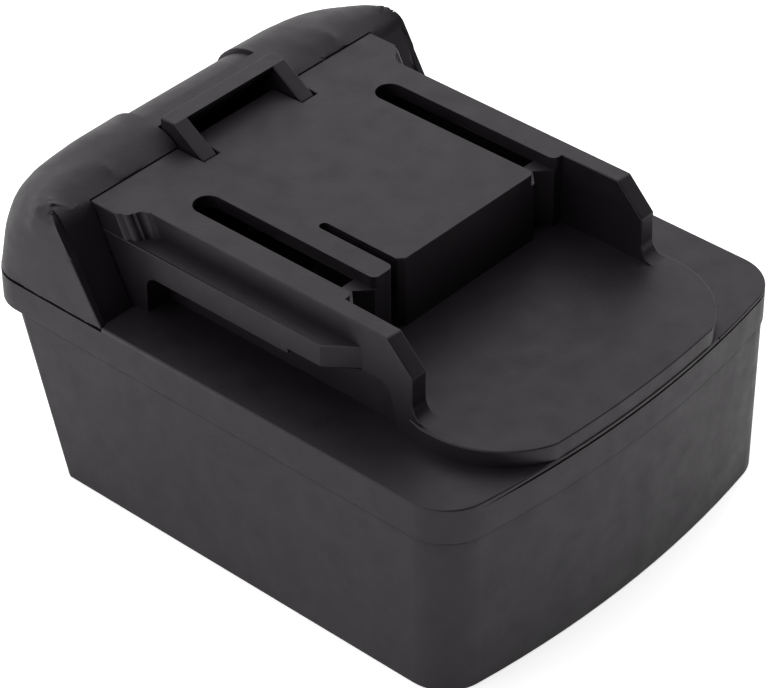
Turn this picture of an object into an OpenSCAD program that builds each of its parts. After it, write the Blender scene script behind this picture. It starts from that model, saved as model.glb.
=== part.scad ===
// Adapter that carries a slide-in battery pack under a tool made for another pack.
// Millimetres, +Z up, front towards -Y, origin under the middle of the body.

/* [Body] */
// Width of the body
body_w = 76; // [74:0.5:82]
// Length of the body, from the bowed front to the rear face
body_l = 96; // [95:0.1:102]
// Height of the deck above the base
deck_z = 34.1; // [33.4:0.1:38]
// Radius of the bowed front
bow_r = 187; // [150:1:260]
// Radius of the two front corners
front_corner_r = 7.7; // [6.5:0.1:9]
// Radius of the two rear corners
rear_corner_r = 6.4; // [5.8:0.1:7]

/* [Lower case] */
// Thickness of the case's walls
case_wall = 2.6; // [2.2:0.1:3]
// How far the walls lean in between the rim band and the base
case_draft = 0.3; // [0.2:0.05:0.8]
// Height of the proud band round the rim
band_h = 5.2; // [4.5:0.1:6]
// How far the rim band stands proud of the wall under it
band_step = 0.25; // [0.2:0.05:0.5]
// Lean of the rear face from upright, in degrees
rear_lean = 16.3; // [13:0.1:19]
// How far the rim overhangs the top of the leaning rear
rear_overhang = 4.1; // [3.6:0.1:5]
// Radius of the upright edges of the leaning rear
rear_edge_r = 5; // [4:0.1:6]
// Bevel under the rim's rear edge
overhang_bevel = 1.4; // [0.5:0.1:2]

/* [Pack socket] */
// Height of the socket under its ceiling
socket_h = 20; // [19:0.1:20.6]
// Thickness of the socket's ceiling
ceiling_t = 2.4; // [2:0.1:2.8]
// How far the slide lips reach in from the walls
lip_reach = 4.5; // [3.5:0.1:5]
// Thickness of the slide lips
lip_t = 3.6; // [2.5:0.1:5]
// Width of the pocket that takes the pack's own latch
pocket_w = 16; // [10:0.5:20]
// Length of that pocket
pocket_l = 5; // [4:0.1:6]
// Depth of that pocket
pocket_d = 1.4; // [0.8:0.1:1.6]

/* [Top cover] */
// Thickness of the deck
deck_t = 2.5; // [2.2:0.1:2.8]
// Thickness of the deck's edge over the shadow gap
edge_t = 0.5; // [0.4:0.05:0.7]
// Height of the shadow gap under the deck's edge
gap_h = 0.4; // [0.3:0.05:0.6]
// Depth of the shadow gap
gap_d = 0.6; // [0.4:0.05:1]
// Distance from the front of the body back to the terminal block
block_setback = 34.8; // [34:0.1:36]
// Height of the top plane above the deck
top_h = 14.95; // [14.4:0.05:15.6]
// Thickness of the wall under the top plane
top_t = 2.2; // [1.8:0.1:2.6]
// Thickness of the block's side and front walls
block_wall = 2.4; // [2:0.1:2.8]
// How far the block reaches in under the hump
block_in = 14; // [13.5:0.1:14.4]

/* [Rails] */
// Width across the two rail necks
neck_w = 54.1; // [53:0.1:55]
// Width across the two rail flanges
flange_w = 61.3; // [60:0.1:62]
// Height of the flanges' lower face above the deck
flange_low = 6.5; // [5.8:0.1:7]
// Height of the flanges' upper face above the deck
flange_high = 11.05; // [10.4:0.05:11.6]
// How far the flanges' lower face rises near the front
flange_relief = 0.7; // [0.3:0.1:1]
// Length of that relief behind the block's front face
flange_relief_l = 5; // [3:0.5:8]
// How far the flanges start in front of the block
flange_nose = 5.9; // [4.5:0.1:7]
// Length of the bevel on the flanges' front corners
flange_bevel = 4.7; // [3.8:0.1:5.5]
// Distance from the blind end of the rails' undercut back to the hump's foot
undercut_end = 2.5; // [1.8:0.1:3.5]
// Radius in the top corner of the undercut's blind end
undercut_r = 2; // [1:0.1:3]
// How far the undercut reaches in behind the fins' outer faces
undercut_in = 1; // [0.6:0.1:1.2]
// Length of the leaning jog where the rail heads widen
jog_l = 3.5; // [3:0.1:4]
// Lean of the jog's wall from upright, in degrees
jog_lean = 26; // [22:1:30]
// Radius of the ridge and the flute on the jog
flute_r = 1.1; // [0.9:0.05:1.3]
// Thickness of the guide fins
fin_t = 3; // [2.7:0.05:3.3]
// Length of the fins' level top in front of the block
fin_top_l = 10.65; // [9:0.1:12]
// How far the fins reach in front of the block
fin_l = 15.3; // [14:0.1:16]
// Height at which the fins' sloping nose ends
fin_nose_h = 10.1; // [8:0.1:11]
// Radius of the flare at the fins' foot
fin_foot_r = 2.8; // [2.2:0.1:3.2]
// Length of the post at a fin's front, in front of the undercut
fin_post = 4; // [3.4:0.1:4.6]

/* [Apron] */
// Height of the apron above the deck
apron_h = 2.85; // [2.2:0.05:3.4]
// Width of the apron in front of the fins
apron_w = 55.4; // [55:0.1:58]
// Radius of the apron's front corners
apron_r = 15.6; // [13:0.1:17]
// How far the apron's front stays behind the edge of the deck
apron_edge = 0.15; // [0.1:0.05:0.6]

/* [Terminal slots] */
// Distance from the outside of a rail neck in to the middle of a power slot
slot_edge = 7.05; // [6.8:0.05:7.5]
// Width of a power slot
slot_w = 4.6; // [4.3:0.1:5]
// Distance from the rear end of a power slot back to the hump's foot
slot_end = 3; // [2:0.5:6]
// Height of the sill at a slot's mouth, above the deck
sill_h = 13; // [12.8:0.1:13.4]
// Thickness of the wall under the sill
sill_t = 4; // [3.6:0.1:4.4]
// Radius of the corners at the slots' mouths
mouth_r = 1.1; // [0.8:0.1:1.3]
// Distance of the signal slot from the middle
signal_x = 12.8; // [12:0.1:13.4]
// Width of the signal slot
signal_w = 1.6; // [1.3:0.1:1.9]
// Length of the signal slot
signal_l = 15; // [12:0.5:17]

/* [Hump] */
// Length of the hump, from its foot to the rear of the body
hump_l = 25.2; // [24.6:0.1:26]
// Lean of the cheeks' front lip from upright, in degrees
hump_lean = 29.8; // [28:0.1:31]
// Height of the hump's crown above the deck
hump_h = 17.1; // [16.6:0.1:17.8]
// Fall of the crown from the middle to the ends
crown_fall = 0.45; // [0.35:0.05:0.55]
// Radius of the hump's rolled front edge
roll_r = 6.2; // [5.6:0.1:6.8]
// Radius of the hump's rolled rear edge
rear_roll_r = 9.4; // [8.8:0.1:10]
// Radius of the hump's two rear corners
hump_corner_r = 9.2; // [8.6:0.1:9.8]
// Radius of the cheeks' shoulders
shoulder_r = 3; // [2.8:0.1:3.2]
// How far the rear corners lie below the shoulders
corner_drop = 0.9; // [0.8:0.1:1.1]
// Length of the cheeks' tight shoulders behind the hump's foot
shoulder_l = 12.5; // [11:0.1:14]
// Width of the lip along each cheek's front edge
cheek_lip = 1.2; // [0.8:0.1:1.6]
// How far the foot of the hump's front face lies behind that lip
cheek_set = 0.8; // [0.5:0.1:1]
// Thickness of the hump's walls
hump_wall = 2.4; // [2:0.1:2.8]
// How far the hump's front edge drops into the top plane
seat_t = 1.2; // [0.9:0.1:1.4]
// Depth of the thumb scoop in the hump's rear edge
scoop_d = 0.7; // [0.4:0.05:0.9]
// Distance from the hump's foot back to its edge on the top plane
edge_back = 8.45; // [8.2:0.05:8.8]

/* [Release latch] */
// Width of the catch and its two posts
catch_w = 24.2; // [22:0.2:25]
// Width of one post
post_w = 2.8; // [2.4:0.1:3.2]
// Distance from the hump's foot back to the foot of the ramps
ramp_back = 3.2; // [2.6:0.1:3.8]
// Length of the ramps
ramp_l = 6; // [5.6:0.1:6.4]
// Length of the catch bar
bar_l = 3; // [2.6:0.1:3.2]
// How far the catch stands above the top plane
catch_h = 3.7; // [3.2:0.1:4]
// Travel of the latch
latch_travel = 4.2; // [4.1:0.1:4.4]
// Thickness of the latch's base
latch_base_t = 5; // [4.4:0.1:5.4]
// Width of the thumb button
button_w = 23; // [20:0.5:24]
// Height of the thumb button
button_h = 6.2; // [5.6:0.1:6.4]
// Radius of the thumb button's grip ribs
rib_r = 0.6; // [0.4:0.05:0.7]
// Number of grip ribs
rib_count = 4; // [3:1:5]

/* [Springs] */
// Outer diameter of the latch springs
spring_d = 5.2; // [4.6:0.1:5.6]
// Thickness of the spring wire
spring_wire = 0.6; // [0.5:0.05:0.7]
// Turns of a spring
spring_turns = 8; // [6:1:9]
// Distance between the two springs
spring_spacing = 14; // [13:0.5:15]

/* [Contacts] */
// Thickness of the contact strip
strip_t = 0.8; // [0.6:0.05:0.9]
// Height of the contact leaves above the deck
leaf_h = 10.8; // [10:0.1:11]
// Length of the contact leaves
leaf_l = 16; // [14:0.5:18]
// Gap between two leaves
leaf_gap = 1.5; // [1.2:0.1:1.7]
// Gap where the two leaves pinch a blade
pinch_gap = 0.6; // [0.4:0.05:0.8]
// Thickness of the pack blades
blade_t = 0.8; // [0.6:0.05:1]
// Height of the pack blades
blade_h = 7; // [6:0.1:7.4]
// Length of the pack blades in front of their holder
blade_l = 14; // [12:0.5:16]
// Distance between the two power blades
blade_spacing = 34; // [33:0.5:35]

/* [Inside] */
// Thickness of the terminal carrier
carrier_t = 2.2; // [1.8:0.1:2.4]
// Width of the blade holder
holder_w = 44; // [42:0.5:46]
// Length of the blade holder
holder_l = 11; // [10.5:0.1:12]
// Height of the blade holder
holder_h = 10; // [9.4:0.1:11]
// Width of the circuit board
board_w = 27; // [26:0.5:28]
// Length of the circuit board
board_l = 50; // [49:0.5:52]
// Thickness of the circuit board
board_t = 1.6; // [1.2:0.1:1.8]
// Height of the standoffs under the board
standoff_h = 3; // [2.6:0.1:3.2]

/* [Fasteners] */
// Thread diameter of the case screws
case_screw_d = 2.9; // [2.5:0.1:3]
// Thread diameter of the small screws
small_screw_d = 2.2; // [2:0.1:2.4]
// Thread diameter of the board screws
board_screw_d = 1.8; // [1.6:0.1:2]
// Distance between the case screws across the body
case_screw_x = 54; // [53:0.5:54.5]
// Distance of the front case screws from the front of the body
front_screw = 14.8; // [14:0.1:16]
// Distance of the rear case screws behind the hump's foot
rear_screw = 6; // [5.5:0.1:6.5]
// Clearance of parts that seat in each other
seat_gap = 0.1; // [0.05:0.01:0.15]
// Clearance of parts that slide past each other
slide_gap = 0.3; // [0.25:0.01:0.4]

/* [Hidden] */
$fn = 64;
plastic = "#2c2b2d";
grey_plastic = "#3a393b";
copper = "#c08a4e";
steel = "#b9bbbd";
eps = 0.01;
// How far a cut runs past the face that it opens
over = 1;

half_w = body_w / 2;
front_y = -body_l / 2;
rear_y = body_l / 2;
block_y = front_y + block_setback;
bow_y = front_y + bow_r;
corner_x = half_w - front_corner_r;
corner_y = bow_y - sqrt(pow(bow_r - front_corner_r, 2) - pow(corner_x, 2));
rear_corner_x = half_w - rear_corner_r;
rear_corner_y = rear_y - rear_corner_r;
// Point just past the bow where it runs into a front corner
bow_k = (bow_r + front_corner_r) / (bow_r - front_corner_r);
bow_end = [corner_x * bow_k, bow_y + (corner_y - bow_y) * bow_k];

// Heights from the base
rim_z = deck_z - edge_t - gap_h;
band_z = rim_z - band_h;
ceiling_z = socket_h + ceiling_t;
overhang_t = 2.2;
rear_side_out = 0.15;
overhang_floor = band_z + overhang_t;
tray_inset = case_wall + band_step + case_draft / 2;
socket_inset = case_wall + band_step + case_draft;
socket_half = half_w - socket_inset;
lip_half = socket_half - lip_reach;

// Screws through the socket's ceiling
screw_ys = [front_y + front_screw, rear_y - hump_l + rear_screw];
cup_h = 6;
cup_d = 8;
cup_t = 2.4;
boss_d = 6.4;
tab_t = 2;
tab_half = 4;
tab_in = 3.5;
tab_arm = 2;
seat_z = socket_h + cup_h;

// Screws: depth of thread in the boss, room past the tip, play in a through hole, heads as width and height
thread_in = 7;
tip_room = 0.5;
hole_play = 0.4;
head_room = 0.3;
case_head = [5.2, 2];
small_head = [4, 1.5];
board_head = [3.4, 1.2];
thread_depth = 0.4;
function core(d) = d - thread_depth;

// Heights and places counted from the deck and the block's front face
cavity_top = top_h - top_t;
flare_l = 3;
mouth_bevel = 1.4;
mouth_side = 1.2;
flute_at = 0.27;
ridge_at = 0.68;
flute_h = 0.35;
post_lean = 1.2;
post_r = 2.2;
flare_y = -fin_l - 2;
block_half = neck_w / 2 - block_wall;
slot_spacing = neck_w - 2 * slot_edge;
hump_rear = rear_y - block_y;
hump_foot = hump_rear - hump_l;
hump_edge = hump_foot + edge_back;
block_l = hump_foot + block_in;
undercut_l = hump_foot - undercut_end;
slot_l = hump_foot - slot_end;
ramp_y = hump_foot + ramp_back;
shoulder_x = half_w - shoulder_r;
shoulder_top = hump_h - crown_fall;
rear_roll_y = hump_rear - rear_roll_r;
// Sections that carry the crown across the hump, as parts of the half width
crown_at = [-0.66, -0.33, 0, 0.33, 0.66];
crown_slice = 0.1;
seat_half = flange_w / 2 + seat_gap;
// How far a roll breaks out of the crown, so that it ends in a clean line
roll_lift = 0.08;
roof_t = 2.6;
room_drop = 7;
room_back = 3;
spigot_back = 0.5;
bar_y = ramp_y + ramp_l;
bar_end = bar_y + bar_l;
catch_top = top_h + catch_h;
post_in = catch_w / 2 - post_w;
latch_base_z = 2;
latch_base_back = 1.6;
bar_lip = 0.7;
bar_foot = 1.2;
ramp_foot = 0.4;
lug_w = 2;
lug_h = 3;
lug_back = 2;
button_sill = 0.2;
button_set = 1.3;
button_t = 2.5;
rib_end = 2;
button_z = latch_travel + button_sill;
button_face = hump_rear - button_set;
window_out = catch_w / 2 + slide_gap;
window_in = post_in - slide_gap;
spring_x = spring_spacing / 2;
spring_y = ramp_y + 7.3;
spring_pin_h = 3;
spring_end_gap = 0.05;
cup_depth = 4;
spring_foot = ceiling_z - deck_z;
spring_head = latch_base_z + cup_depth;
carrier_front = 5;
carrier_end = 2.5;
carrier_y = [carrier_front, undercut_l - carrier_end];
carrier_half = block_half - slide_gap;
carrier_screw_x = 7.5;
carrier_screw = [carrier_screw_x, (carrier_y[0] + carrier_y[1]) / 2];
carrier_boss_d = 6;
carrier_rib = [1, 12, 3];
carrier_rib_gap = 0.7;
leaf_y = 5.5;
leaf_pinch = 2;
leaf_straight = 5;
leaf_foot = 6;
tail_y = slot_l;
tail_half = 1.6;
signal_strip = strip_t * 0.75;
signal_leaf_l = 10;
signal_leaf_drop = 1;
signal_tail_half = 1.2;
holder_y = -17;
holder_top = socket_h - deck_z;
blade_bevel = 1.5;
blade_z = holder_top - blade_bevel;
tail_rise = 2.8;
tail_top = ceiling_z - deck_z + tail_rise;
blade_tail_in = [8, 4];
blade_tail = [holder_y - blade_tail_in[0], holder_y - blade_tail_in[1]];
signal_blade_x = -6;
signal_blade_cut = 4;
solder_rise = 0.8;
holder_screw = [11.5, holder_y - 9.5];
board_y = -26;
board_z = ceiling_z - deck_z + standoff_h;
board_top = board_z + board_t;
board_edge = [3, 12, 4];
board_screw_x = board_w / 2 - board_edge[0];
board_screw = [for (x = [-board_screw_x, board_screw_x],
    y = [board_y + board_edge[1], board_y + board_l - board_edge[2]]) [x, y]];
standoff_d = 4.6;
pocket_y = hump_foot;

// Routes of the three leads, counted from the deck and the block's front face
power_lead_d = 2.4;
lead_drop = 2.8;
lead_depth = 5.2;
lead_bend = 2.5;
lead_bow = 0.8;
lead_x = slot_spacing / 2;
lead_end = [blade_spacing / 2, (blade_tail[0] + blade_tail[1]) / 2];
power_route = [
    [lead_x, tail_y, 0], [lead_x, tail_y, -lead_drop],
    [lead_x + lead_bow / 2, tail_y - lead_bend, -lead_depth + lead_bend / 5],
    [lead_x + lead_bow, tail_y - 3 * lead_bend, -lead_depth],
    [lead_x + lead_bow, lead_end[1] + 4 * lead_bend, -lead_depth],
    [lead_end[0] + lead_bend / 2, lead_end[1] + lead_bend, -lead_depth],
    [lead_end[0] + lead_bend / 10, lead_end[1] + lead_bend / 5, -lead_depth - lead_bend / 4],
    [lead_end[0], lead_end[1], -lead_depth - 0.7 * lead_bend], [lead_end[0], lead_end[1], tail_top]
];
signal_lead_d = 1.4;
signal_drop = 2;
signal_bend = 2;
signal_lead_in = [2.5, 10.4];
signal_end = [signal_lead_in[0] - board_w / 2, board_y + board_l - signal_lead_in[1]];
signal_route = [
    [-signal_x, tail_y, 0], [-signal_x, tail_y, -signal_drop],
    [-signal_x, tail_y - signal_bend, -signal_drop - 0.8 * signal_bend],
    [-signal_x, tail_y - 3 * signal_bend, -signal_drop - 1.1 * signal_bend],
    [signal_end[0], signal_end[1] + 0.5 * signal_bend, -signal_drop - 1.4 * signal_bend],
    [signal_end[0], signal_end[1], -signal_drop - 1.8 * signal_bend],
    [signal_end[0], signal_end[1], board_top]
];

// Parts on the board: width, length, height, and places from the middle and front of the board
transistor_size = [6.4, 6.2, 2.3];
transistor_tab = [5.2, 1.2, 0.6];
transistor_leg = [0.8, 1.6, 0.6];
transistor_leg_x = 2.3;
transistor_at = [0, 22];
chip_size = [3.8, 5, 1.4];
chip_rise = 0.2;
chip_leg = [1.1, 0.4, 0.5];
chip_pitch = 1.27;
chip_at = [3, 35];
resistor_size = [3.2, 1.6, 0.6];
resistor_pitch = 3.2;
resistor_at = [-7.5, 20];

// Moves a part that is measured from the deck and the block's front face into place
module on_deck() {
    translate([0, block_y, deck_z]) children();
}

// Extrudes a side view, drawn as (y, z), across the body from x0 to x1
module across(x0, x1) {
    translate([x0, 0, 0]) rotate([90, 0, 90]) linear_extrude(x1 - x0) children();
}

module both_sides() {
    children();
    mirror([1, 0, 0]) children();
}

// Box between two corners
module box(a, b) {
    translate(a) cube(b - a);
}

// Outline of the body from above, drawn in by inset
module plan(inset = 0) {
    translate([-half_w + inset, corner_y]) square([body_w - 2 * inset, rear_corner_y - corner_y]);
    translate([-rear_corner_x, corner_y]) square([2 * rear_corner_x, rear_y - inset - corner_y]);
    for (s = [-1, 1]) {
        translate([s * corner_x, corner_y]) circle(front_corner_r - inset);
        translate([s * rear_corner_x, rear_corner_y]) circle(rear_corner_r - inset);
    }
    intersection() {
        translate([0, bow_y]) circle(bow_r - inset, $fn = 720);
        polygon([[-corner_x, corner_y], [corner_x, corner_y], bow_end, [-bow_end[0], bow_end[1]]]);
    }
}

// The part of the outline in front of or behind a line, counted from the block's front face
module plan_front(inset, y) {
    intersection() {
        plan(inset);
        translate([-body_w, front_y - 1]) square([2 * body_w, block_y + y - front_y + 1]);
    }
}

module plan_rear(inset, y) {
    intersection() {
        plan(inset);
        translate([-body_w, block_y + y]) square([2 * body_w, body_l]);
    }
}

// Case wall under the rim band, leaning in towards the base on every side
module leaning_body(h, low, high) {
    rotate([90, 0, 0]) translate([0, 0, -rear_corner_y]) linear_extrude(rear_corner_y - corner_y)
        polygon([[-half_w + low, 0], [half_w - low, 0], [half_w - high, h], [-half_w + high, h]]);
    for (s = [-1, 1])
        translate([s * corner_x, corner_y, 0])
            cylinder(h, front_corner_r - low, front_corner_r - high);
    intersection() {
        translate([0, bow_y, 0]) cylinder(h, bow_r - low, bow_r - high, $fn = 720);
        linear_extrude(h)
            polygon([[-corner_x, corner_y], [corner_x, corner_y], bow_end, [-bow_end[0], bow_end[1]]]);
    }
}

// Leaning rear of the case: a tilted prism with rounded corners
module rear_cut() {
    reach = 3 * deck_z;
    side = half_w - band_step + rear_side_out;
    y = rear_y - rear_overhang;
    translate([0, y, band_z]) rotate([-rear_lean, 0, 0]) translate([0, 0, -reach])
        linear_extrude(2 * reach) {
            translate([-side, -2 * body_l]) square([2 * side, 2 * body_l - rear_edge_r]);
            translate([-side + rear_edge_r, -2 * body_l])
                square([2 * (side - rear_edge_r), 2 * body_l]);
            for (s = [-1, 1])
                translate([s * (side - rear_edge_r), -rear_edge_r]) circle(rear_edge_r);
        }
}

// Distance of the leaning rear face from the middle, at a height above the base
function rear_at(z) = rear_y - rear_overhang - (band_z - z) * tan(rear_lean);

module socket_plan() {
    plan(socket_inset);
    translate([-socket_half, 0]) square([2 * socket_half, body_l]);
}

// Places of the four case screws
module at_case_screws() {
    for (x = [-1, 1], y = screw_ys)
        translate([x * case_screw_x / 2, y, 0]) children();
}

// Room for a blade's tail, from above, h tall
module tail_room(h) {
    translate([-blade_t / 2 - seat_gap, blade_tail[0] - seat_gap, 0])
        cube([blade_t + 2 * seat_gap, blade_tail[1] - blade_tail[0] + 2 * seat_gap, h]);
}

module lower_case() {
    color(plastic) difference() {
        union() {
            difference() {
                union() {
                    translate([0, 0, band_z]) linear_extrude(band_h) plan();
                    intersection() {
                        leaning_body(band_z + eps, band_step + case_draft, band_step);
                        rear_cut();
                    }
                }
                // Tray that holds the electrical parts, and the shallow room over the overhang
                translate([0, 0, overhang_floor]) linear_extrude(band_h) plan(case_wall);
                translate([0, 0, ceiling_z]) linear_extrude(band_h + deck_z)
                    intersection() {
                        plan(tray_inset);
                        translate([-body_w, front_y])
                            square([2 * body_w, rear_at(ceiling_z) - case_wall - front_y]);
                    }
                // Bevel under the rim's rear edge
                across(-body_w, body_w) polygon([
                    [rear_y + over, band_z - over], [rear_y + over, band_z + overhang_bevel + over],
                    [rear_y - overhang_bevel - 2 * over, band_z - 2 * over]
                ]);
            }
            // Cups for the screw heads, spring pins and board standoffs
            at_case_screws() translate([0, 0, socket_h]) cylinder(cup_h, d = cup_d);
            on_deck() {
                for (s = [-1, 1])
                    translate([s * spring_x, spring_y, spring_foot - eps])
                        cylinder(spring_pin_h, d = spring_d - 2 * spring_wire - 2 * slide_gap);
                for (p = board_screw)
                    translate([p[0], p[1], ceiling_z - deck_z - eps])
                        cylinder(standoff_h + eps, d = standoff_d);
            }
        }
        // Socket, open below and behind, with its two slide lips
        translate([0, 0, lip_t]) linear_extrude(socket_h - lip_t) socket_plan();
        translate([0, 0, -over]) linear_extrude(lip_t + over + eps) intersection() {
            socket_plan();
            translate([-lip_half, front_y]) square([2 * lip_half, 2 * body_l]);
        }
        on_deck() translate([-pocket_w / 2, pocket_y, holder_top - eps])
            cube([pocket_w, pocket_l, pocket_d]);
        at_case_screws() {
            translate([0, 0, socket_h - eps])
                cylinder(cup_h - cup_t + eps, d = case_head[0] + 2 * head_room);
            cylinder(deck_z, d = case_screw_d + hole_play);
        }
        on_deck() {
            for (p = board_screw)
                translate([p[0], p[1], board_z - standoff_h])
                    cylinder(deck_z, d = core(board_screw_d));
            for (s = [-1, 1])
                translate([s * holder_screw[0], holder_screw[1], holder_top - over])
                    cylinder(ceiling_t + 2 * over, d = small_screw_d + hole_play);
            for (x = [-blade_spacing / 2, signal_blade_x, blade_spacing / 2])
                translate([x, 0, holder_top - over]) tail_room(ceiling_t + 2 * over);
        }
    }
}

// Apron between and in front of the fins, from above
module apron_plan() {
    c = [apron_w / 2 - apron_r, front_y - block_y + apron_r];
    intersection() {
        union() {
            translate([-neck_w / 2, c[1]]) square([neck_w, -c[1] + over]);
            translate([-apron_w / 2, c[1]]) square([apron_w, flare_y - c[1]]);
            translate([-c[0], c[1] - apron_r]) square([2 * c[0], apron_r]);
            for (s = [-1, 1])
                translate([s * c[0], c[1]]) circle(apron_r);
        }
        translate([0, -block_y]) plan(apron_edge);
    }
    // Flare from the fins out to the apron's full width
    for (s = [-1, 1])
        translate([s * neck_w / 2, flare_y]) scale([s, 1]) polygon([
            [0, 0], [(apron_w - neck_w) / 2, 0], [0, flare_l]
        ]);
}

// One guide fin, side view
module fin_side() {
    polygon([
        [over, 0], [over, top_h], [-fin_top_l, top_h], [-fin_l, fin_nose_h], [-fin_l, 0]
    ]);
    difference() {
        translate([-fin_l - fin_foot_r, apron_h]) square([fin_foot_r + eps, fin_foot_r]);
        translate([-fin_l - fin_foot_r, apron_h + fin_foot_r]) circle(fin_foot_r);
    }
}

// One rail flange from above, on the right
module flange_plan() {
    polygon([
        [0, -flange_nose], [neck_w / 2, -flange_nose],
        [flange_w / 2, -flange_nose + flange_bevel], [flange_w / 2, undercut_l + over],
        [0, undercut_l + over]
    ]);
}

// Widened rail head on the right, seen along its leaning jog, with a ridge and a flute on the jog
module head_section() {
    n = neck_w / 2;
    f = flange_w / 2;
    jog = [f - n, jog_l];
    out = [jog[1], -jog[0]] / norm(jog) * (flute_r - flute_h);
    difference() {
        union() {
            polygon([[0, 0], [n, 0], [f, jog_l], [f, body_l], [0, body_l]]);
            translate([n, 0] + jog * ridge_at - out) circle(flute_r);
        }
        translate([n, 0] + jog * flute_at + out) circle(flute_r);
    }
}

// Rail head between the flange and the top plane, on the right
module rail_head() {
    intersection() {
        box([0, 0, flange_high - eps], [flange_w / 2, block_l, top_h]);
        translate([0, undercut_l, flange_high]) rotate([-jog_lean, 0, 0])
            translate([0, 0, -deck_z]) linear_extrude(2 * deck_z) head_section();
    }
}

// Side view of the cut under a flange from a front end back to its rounded blind end
module undercut_side(front) {
    difference() {
        translate([front, 0]) square([undercut_l - front, flange_low]);
        translate([undercut_l - undercut_r, flange_low - undercut_r]) difference() {
            square(undercut_r + eps);
            circle(undercut_r);
        }
    }
    translate([front, 0]) square([flange_relief_l - front, flange_low + flange_relief]);
}

// Side view of the recess in the neck and fin, which ends in a round behind the fin's post
module recess_side() {
    front = fin_post - fin_l;
    top = flange_low + flange_relief - post_r;
    undercut_side(front + post_r);
    translate([front + post_r, top]) circle(post_r);
    polygon([[front - post_lean, 0], [front, top], [front + post_r + eps, top], [front + post_r + eps, 0]]);
}

module top_cover() {
    color(plastic) on_deck() difference() {
        union() {
            // Deck with its thin edge, the shadow gap and the spigot inside the case's rim
            translate([0, -block_y, -edge_t]) linear_extrude(edge_t) plan_front(0, hump_foot - seat_gap);
            translate([0, -block_y, -edge_t - gap_h]) linear_extrude(gap_h + eps)
                plan_front(gap_d, hump_foot - seat_gap);
            translate([0, -block_y, -deck_t]) linear_extrude(deck_t - edge_t)
                plan_front(case_wall + seat_gap, hump_foot - seat_gap);
            translate([0, 0, -eps]) linear_extrude(apron_h + eps) apron_plan();
            // Block with necks, flanges, columns and widened heads
            box([-neck_w / 2, 0, -deck_t], [neck_w / 2, block_l, top_h]);
            difference() {
                union() {
                    both_sides() translate([0, 0, -eps]) linear_extrude(flange_high + eps) flange_plan();
                    both_sides() translate([0, 0, -deck_t])
                        linear_extrude(deck_t + flange_high)
                            translate([0, undercut_l]) square([flange_w / 2, block_l - undercut_l]);
                }
                both_sides() across(neck_w / 2, body_w) undercut_side(-flange_nose - over);
                box([-block_half, -2 * flange_nose, apron_h], [block_half, 0, flange_high + over]);
            }
            both_sides() rail_head();
            both_sides() across(neck_w / 2 - fin_t, neck_w / 2) fin_side();
            // Bosses for the case screws
            for (x = [-1, 1], y = screw_ys) {
                low = y > 0 ? seat_z + tab_t : seat_z;
                translate([x * case_screw_x / 2, y - block_y, low - deck_z])
                    cylinder(deck_z - low, d = boss_d);
            }
        }
        // Recess in the necks and fins
        both_sides() across(neck_w / 2 - undercut_in, neck_w / 2 + eps) recess_side();
        // Room inside the block, open below and behind, with a thick wall at each slot's mouth
        difference() {
            box([-block_half, block_wall, -deck_t - over], [block_half, block_l + over, cavity_top]);
            both_sides() box([(slot_spacing - slot_w) / 2 - mouth_side, 0, -deck_t - 2 * over],
                [body_w, sill_t, top_h]);
        }
        // Power slots with a sill and a lead-in at the mouth, the signal slot, and the bevel beside it
        for (s = [-1, 1])
            translate([s * slot_spacing / 2, 0, 0]) {
                translate([0, 0, cavity_top - over]) linear_extrude(top_t + 2 * over) power_slot_plan();
                translate([0, 0, sill_h]) linear_extrude(top_h) {
                    translate([-slot_w / 2, -over]) square([slot_w, sill_t + over + eps]);
                    both_sides() translate([slot_w / 2, 0]) mouth_corner();
                }
                translate([0, 0, apron_h]) linear_extrude(sill_h - apron_h + eps) polygon([
                    [-slot_w / 2, -over], [slot_w / 2, -over], [slot_w / 2, 0], [0, slot_w / 2],
                    [-slot_w / 2, 0]
                ]);
            }
        translate([-signal_x, 0, apron_h]) linear_extrude(top_h) {
            signal_slot_plan();
            translate([-signal_w / 2, 0]) mirror([1, 0]) mouth_corner();
        }
        translate([-signal_x + signal_w / 2, 0, apron_h]) linear_extrude(top_h) rotate(45)
            square(mouth_bevel, center = true);
        // Seat for the hump's front edge, and the latch's window
        both_sides() box([window_out, hump_edge, top_h - seat_t], [body_w, block_l + over, top_h + over]);
        latch_window(cavity_top - over, top_h + over);
        box([-window_out, bar_y, cavity_top - over], [window_out, block_l + over, top_h + over]);
        for (x = [-1, 1], y = screw_ys)
            translate([x * case_screw_x / 2, y - block_y, seat_z - deck_z - over])
                cylinder(thread_in + over + (y > 0 ? tab_t : 0), d = core(case_screw_d));
    }
    color(plastic) on_deck() carrier_bosses();
}

// Round of a corner at a slot's mouth, from above
module mouth_corner() {
    difference() {
        translate([-eps, -eps]) square(mouth_r + eps);
        translate([mouth_r, mouth_r]) circle(mouth_r);
    }
}

module power_slot_plan() {
    translate([-slot_w / 2, sill_t]) square([slot_w, slot_l - slot_w / 2 - sill_t]);
    translate([0, slot_l - slot_w / 2]) circle(slot_w / 2);
}

module signal_slot_plan() {
    translate([-signal_w / 2, -over]) square([signal_w, signal_l - signal_w / 2 + over]);
    translate([0, signal_l - signal_w / 2]) circle(signal_w / 2);
}

// Window for the catch: two slots for the posts and one across for the bar
module latch_window(z0, z1) {
    both_sides() box([window_in, ramp_y - slide_gap, z0], [window_out, bar_end + slide_gap, z1]);
    box([-window_out, bar_y - slide_gap, z0], [window_out, bar_end + slide_gap, z1]);
}

// Posts that hang from the top wall and carry the terminal carrier
module carrier_bosses() {
    for (s = [-1, 1])
        translate([s * carrier_screw[0], carrier_screw[1], 0]) difference() {
            cylinder(cavity_top + eps, d = carrier_boss_d);
            translate([0, 0, -over]) cylinder(thread_in + over, d = core(small_screw_d));
        }
}

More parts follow.
